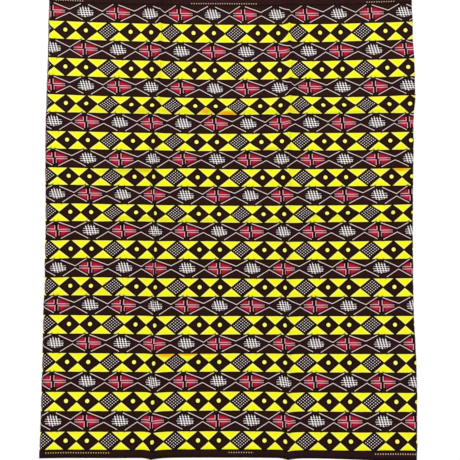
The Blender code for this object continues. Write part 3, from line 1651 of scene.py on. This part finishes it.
@dataclass(frozen=True)
class CottonFinish:
    """A finish of the printed cotton.

    Attributes:
        name: Name of the material.
        fade: How far the print fades into the raw cotton.
        roughness: Roughness of the printed yarns.
        gloss: Specular level of the calendered face.
        sheen: Weight of the short fuzz's sheen.
        weave_depth: Depth of the weave, in metres.
        shows_fold_shade: Whether the painted shade of the cross folds shows on it.
        uneven: How much the roughness changes over the cloth.
        uneven_scale: Uneven patches in a metre.
        sheen_roughness: Roughness of the sheen.
    """

    name: str
    fade: float
    roughness: float
    gloss: float
    sheen: float
    weave_depth: float
    shows_fold_shade: bool
    uneven: float = 0.18
    uneven_scale: float = 24.0
    sheen_roughness: float = 0.45

    def material(self, wax_print: bpy.types.NodeTree, weave: bpy.types.NodeTree) -> bpy.types.Material:
        """Build the material.

        Args:
            wax_print: Node group of the print.
            weave: Node group of the weave.

        Returns:
            The material, which reads the cloth's own map.
        """
        material = bpy.data.materials.new(self.name)
        material.use_nodes = True
        tree = material.node_tree
        shader = tree.nodes["Principled BSDF"]
        place = tree.nodes.new("ShaderNodeUVMap")
        place.uv_map = PRINT_MAP
        printed = self.placed(tree, wax_print, place)
        woven = self.placed(tree, weave, place)
        patches = Figure(tree, mottle(place.outputs["UV"], self.uneven_scale, 4.0).outputs["Fac"])
        coat = Coat(tree, printed.outputs["Colour"])
        # Painted shade: the yellow is painted orange on the shaded side of the cross folds
        if self.shows_fold_shade:
            light = Figure(tree, printed.outputs["Light"])
            coat.lay(Ink.FOLD_SHADE_ORANGE, self.kept(tree, FOLD_SHADE_MASK) * light)
        if self.fade:
            coat.lay(Ink.RAW_COTTON, patches.step(0.2, 0.8) * self.fade)
        tree.links.new(coat.colour, shader.inputs["Base Color"])
        rough = (patches - 0.5) * self.uneven + self.roughness
        tree.links.new(rough.socket, shader.inputs["Roughness"])
        shader.inputs["Metallic"].default_value = 0.0
        shader.inputs["Specular IOR Level"].default_value = self.gloss
        shader.inputs["Sheen Weight"].default_value = self.sheen
        shader.inputs["Sheen Roughness"].default_value = self.sheen_roughness
        bump = tree.nodes.new("ShaderNodeBump")
        bump.inputs["Strength"].default_value = 1.0
        bump.inputs["Distance"].default_value = self.weave_depth
        tree.links.new(woven.outputs["Height"], bump.inputs["Height"])
        tree.links.new(bump.outputs["Normal"], shader.inputs["Normal"])
        return material

    def placed(self, tree: bpy.types.NodeTree, group: bpy.types.NodeTree,
               place: bpy.types.Node) -> bpy.types.Node:
        """Put a node group in the material.

        Args:
            tree: The material's nodes.
            group: The group.
            place: Node that gives the place in the print.

        Returns:
            The group's node.
        """
        node = tree.nodes.new("ShaderNodeGroup")
        node.node_tree = group
        tree.links.new(place.outputs["UV"], node.inputs["Place"])
        return node

    def kept(self, tree: bpy.types.NodeTree, name: str) -> Figure:
        """A mask that the mesh keeps at its points.

        Args:
            tree: The material's nodes.
            name: Name of the mask.

        Returns:
            The mask.
        """
        node = tree.nodes.new("ShaderNodeAttribute")
        node.attribute_name = name
        return Figure(tree, node.outputs["Fac"])


FACE = CottonFinish(
    name="printed_face", fade=0.0, roughness=0.68, gloss=0.05, sheen=0.012,
    weave_depth=0.00005, shows_fold_shade=True,
)
BACK = CottonFinish(
    name="printed_back", fade=0.30, roughness=0.80, gloss=0.12, sheen=0.05,
    weave_depth=0.00007, shows_fold_shade=False,
)
THREAD = CottonFinish(
    name="cut_end_thread", fade=0.35, roughness=0.85, gloss=0.10, sheen=0.06,
    weave_depth=0.00002, shows_fold_shade=False,
)


# Pieces


@dataclass
class ClothSheet:
    """The laid cloth as one thin shell.

    Attributes:
        lay: How it lies.
        plain_step: Spacing of its lines of points between the folds.
        ridge_step: Spacing beside a long ridge.
        ridge_band: How far that finer spacing reaches on each side of a ridge.
        cross_step: Spacing beside a cross fold.
        cross_band: How far that one reaches.
        blend: Distance over which a fine spacing widens to the plain one.
        end_line: Line beside the left cut end that is spaced as a ridge is, for
            the print that is drawn in there.
    """

    lay: Lay
    plain_step: float = 0.0080
    ridge_step: float = 0.0011
    ridge_band: float = 0.018
    cross_step: float = 0.0025
    cross_band: float = 0.016
    blend: float = 0.020
    end_line: float = -0.006

    def lines(self, length: float, folds: Sequence[float], band: float, step: float) -> list[float]:
        """Places of the lines of points along one side of the cloth.

        Args:
            length: Length of the side.
            folds: Places of the folds on it.
            band: How far the fine spacing reaches on each side of a fold.
            step: The fine spacing.

        Returns:
            The places, from 0 to the length.
        """
        places = [0.0]
        while places[-1] < length:
            at = places[-1]
            near = min(abs(at - fold) for fold in folds)
            blend = soft_step((near - band) / self.blend)
            places.append(at + step + (self.plain_step - step) * blend)
        stretch = length / places[-1]
        return [place * stretch for place in places]

    def mesh(self) -> bpy.types.Mesh:
        """The underside of the cloth, with its print map and its mask of painted fold shade.

        Returns:
            The mesh.
        """
        across = self.lines(
            CUT_WIDTH, [self.end_line, *(ridge.across[1] for ridge in RIDGES)],
            self.ridge_band, self.ridge_step,
        )
        ups = self.lines(
            CUT_HEIGHT, [(fold.start_up + fold.end_up) / 2 for fold in CROSS_FOLDS],
            self.cross_band, self.cross_step,
        )
        columns, rows = len(across) - 1, len(ups) - 1
        sheet = bmesh.new()
        bmesh.ops.create_grid(sheet, x_segments=columns, y_segments=rows, size=0.5)
        # Mask of painted fold shade, kept at the points
        fold_shade = sheet.verts.layers.float.new(FOLD_SHADE_MASK)
        uv = sheet.loops.layers.uv.new(PRINT_MAP)
        laid = [self.lay.row(across, up) for up in ups]
        places: dict[int, tuple[float, float]] = {}
        for vert in sheet.verts:
            i = round((vert.co.x + 0.5) * columns)
            j = round((vert.co.y + 0.5) * rows)
            vert.co = laid[j][i]
            vert[fold_shade] = self.lay.fold_shade(across[i], ups[j])
            places[vert.index] = self.lay.print_place(across[i], ups[j])
        for face in sheet.faces:
            face.smooth = True
            for loop in face.loops:
                loop[uv].uv = places[loop.vert.index]
        mesh = bpy.data.meshes.new("laid_cloth")
        sheet.to_mesh(mesh)
        sheet.free()
        return mesh

    def build(self, face: bpy.types.Material, back: bpy.types.Material) -> bpy.types.Object:
        """Make the piece.

        Args:
            face: Finish of its printed face.
            back: Finish of its underside.

        Returns:
            The laid cloth.
        """
        mesh = self.mesh()
        mesh.materials.append(face)
        mesh.materials.append(back)
        piece = bpy.data.objects.new("laid_cloth", mesh)
        bpy.context.scene.collection.objects.link(piece)
        wall = piece.modifiers.new("thickness", "SOLIDIFY")
        wall.thickness = CLOTH_THICKNESS
        wall.offset = 1.0
        wall.material_offset = 1
        return piece


@dataclass
class CutEndThreads:
    """Short warp threads that stand out of the two cut ends.

    Attributes:
        lay: How the cloth lies.
        spacing: Mean distance from one thread to the next.
        radius: Radius of a thread.
        shortest: Length of the shortest one outside the cloth.
        longest: Length of the longest one.
        rings: Segments along a thread.
        seed: Start of the random draws.
        end_margin: Distance from a selvedge where there is no thread.
        root: Length of a thread inside the cloth.
        taper: Radius at a thread's end, as a share of its own.
        lean: How far the threads lean aside, as a slope.
        curl: How strongly they curl aside, in one over metres.
        sag: How far they sag, as a slope.
    """

    lay: Lay
    spacing: float = 0.0016
    radius: float = 0.00014
    shortest: float = 0.0004
    longest: float = 0.0026
    rings: int = 4
    seed: int = 11
    end_margin: float = 0.002
    root: float = 0.0006
    taper: float = 0.6
    lean: float = 0.5
    curl: float = 250.0
    sag: float = 0.05

    def build(self, finish: bpy.types.Material) -> bpy.types.Object:
        """Make the piece.

        Args:
            finish: Finish of the threads.

        Returns:
            The threads of both ends, in one mesh.
        """
        draw = random.Random(self.seed)
        straight = self.straight_thread()
        threads = bmesh.new()
        uv = threads.loops.layers.uv.new(PRINT_MAP)
        for side in (-1.0, 1.0):
            up = self.end_margin
            while up < CUT_HEIGHT - self.end_margin:
                first_vert, first_face = len(threads.verts), len(threads.faces)
                threads.from_mesh(straight)
                threads.verts.ensure_lookup_table()
                threads.faces.ensure_lookup_table()
                self.lay_thread(threads.verts[first_vert:], side, up, draw)
                place = self.lay.print_place(0.0 if side < 0 else CUT_WIDTH, up)
                for face in threads.faces[first_face:]:
                    for loop in face.loops:
                        loop[uv].uv = place
                up += self.spacing * draw.uniform(0.5, 1.5)
        mesh = bpy.data.meshes.new("cut_end_threads")
        threads.to_mesh(mesh)
        threads.free()
        bpy.data.meshes.remove(straight)
        mesh.shade_smooth()
        mesh.materials.append(finish)
        piece = bpy.data.objects.new("cut_end_threads", mesh)
        bpy.context.scene.collection.objects.link(piece)
        return piece

    def straight_thread(self) -> bpy.types.Mesh:
        """One thread, a metre long and standing on the origin, to be laid again and again.

        Returns:
            The mesh.
        """
        thread = bmesh.new()
        bmesh.ops.create_cone(
            thread, cap_ends=True, segments=4, radius1=self.radius,
            radius2=self.radius * self.taper, depth=1.0,
        )
        bmesh.ops.translate(thread, verts=thread.verts, vec=(0.0, 0.0, 0.5))
        long = [edge for edge in thread.edges if edge.calc_length() > 0.5]
        bmesh.ops.subdivide_edges(thread, edges=long, cuts=self.rings - 1)
        mesh = bpy.data.meshes.new("straight_thread")
        thread.to_mesh(mesh)
        thread.free()
        return mesh

    def lay_thread(self, verts: Sequence[bmesh.types.BMVert], side: float, up: float,
                   draw: random.Random) -> None:
        """Lay one thread on the surface, out of the cut end.

        Args:
            verts: Points of the thread.
            side: -1 at the left cut end, and 1 at the right one.
            up: Place up the cloth.
            draw: Source of the random draws.
        """
        row = self.lay.row((0.0, CUT_WIDTH), up)
        end = Vector(row[0] if side < 0 else row[-1])
        length = self.shortest + (self.longest - self.shortest) * draw.random() ** 2
        lean = draw.uniform(-self.lean, self.lean)
        curl = draw.uniform(-self.curl, self.curl)
        height = end.z + draw.uniform(0.3, 0.7) * CLOTH_THICKNESS
        for vert in verts:
            out = vert.co.z * (length + self.root) - self.root
            outside = max(out, 0.0)
            x = end.x + side * out
            y = end.y + vert.co.y + lean * outside + curl * outside * outside
            z = height + vert.co.x - self.sag * outside
            vert.co = (x, y, max(z, LIFT))


# Studio


@dataclass(frozen=True)
class Studio:
    """The floor, the light and the camera.

    Attributes:
        floor_size: Half the side of the floor.
        floor_drop: How far it lies under the cloth's frame.
        floor_colour: Its colour.
        floor_roughness: Its roughness.
        floor_gloss: Its specular level.
        sky: Strength of the even light from all round.
        lamp_power: Power of the large soft lamp, in watts.
        lamp_size: Its width and its height.
        lamp_place: Where it is. It points at the middle of the cloth.
        camera_place: Where the camera is.
        camera_tilt: How far it leans back from looking straight down, in degrees.
        view_angle: Its angle of view, in degrees.
    """

    floor_size: float = 3.0
    floor_drop: float = 0.0001
    floor_colour: Colour = (0.995, 0.985, 0.965, 1.0)
    floor_roughness: float = 0.95
    floor_gloss: float = 0.1
    sky: float = 0.84
    lamp_power: float = 236.0
    lamp_size: tuple[float, float] = (5.1, 3.2)
    lamp_place: Point = (-1.12, 5.12, 5.44)
    camera_place: Point = (0.0008, -0.1008, 1.5488)
    camera_tilt: float = 3.0
    view_angle: float = 39.68

    def build(self) -> None:
        """Make all of it."""
        self.floor()
        self.light()
        self.camera()

    def floor(self) -> None:
        """A plain pale floor just under the cloth."""
        plane = bmesh.new()
        bmesh.ops.create_grid(plane, x_segments=1, y_segments=1, size=self.floor_size)
        bmesh.ops.translate(plane, verts=plane.verts, vec=(0.0, 0.0, -self.floor_drop))
        mesh = bpy.data.meshes.new("floor")
        plane.to_mesh(mesh)
        plane.free()
        material = bpy.data.materials.new("pale_floor")
        material.use_nodes = True
        shader = material.node_tree.nodes["Principled BSDF"]
        shader.inputs["Base Color"].default_value = self.floor_colour
        shader.inputs["Roughness"].default_value = self.floor_roughness
        shader.inputs["Specular IOR Level"].default_value = self.floor_gloss
        mesh.materials.append(material)
        floor = bpy.data.objects.new("floor", mesh)
        bpy.context.scene.collection.objects.link(floor)

    def light(self) -> None:
        """An even pale sky, and one large soft lamp from above the upper selvedge."""
        world = bpy.data.worlds.new("studio")
        world.use_nodes = True
        backdrop = world.node_tree.nodes["Background"]
        backdrop.inputs["Color"].default_value = (1.0, 1.0, 1.0, 1.0)
        backdrop.inputs["Strength"].default_value = self.sky
        bpy.context.scene.world = world
        lamp = bpy.data.lights.new("soft_lamp", "AREA")
        lamp.shape = "RECTANGLE"
        lamp.size, lamp.size_y = self.lamp_size
        lamp.energy = self.lamp_power
        holder = bpy.data.objects.new("soft_lamp", lamp)
        holder.location = self.lamp_place
        towards = -Vector(self.lamp_place)
        holder.rotation_euler = towards.to_track_quat("-Z", "Y").to_euler()
        bpy.context.scene.collection.objects.link(holder)

    def camera(self) -> None:
        """The camera, over the cloth and looking almost straight down."""
        data = bpy.data.cameras.new("camera")
        data.sensor_fit = "HORIZONTAL"
        data.angle = math.radians(self.view_angle)
        camera = bpy.data.objects.new("camera", data)
        camera.location = self.camera_place
        camera.rotation_euler = (math.radians(self.camera_tilt), 0.0, 0.0)
        bpy.context.scene.collection.objects.link(camera)
        bpy.context.scene.camera = camera
        bpy.context.scene.view_settings.view_transform = "Standard"


def main() -> None:
    """Build the cloth, its threads and the studio, and say which pieces were made."""
    logging.basicConfig(level=logging.INFO, format="%(message)s")
    log = logging.getLogger("cloth")
    wax_print = WaxPrint().group()
    weave = PlainWeave().group()
    lay = Lay()
    cloth = ClothSheet(lay).build(FACE.material(wax_print, weave), BACK.material(wax_print, weave))
    log.info("%s: %d faces", cloth.name, len(cloth.data.polygons))
    threads = CutEndThreads(lay).build(THREAD.material(wax_print, weave))
    log.info("%s: %d faces", threads.name, len(threads.data.polygons))
    for piece in (cloth, threads):
        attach(piece, BODY)
    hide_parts(CLOTH_NODE)
    Studio().build()


if __name__ == "__main__":
    main()
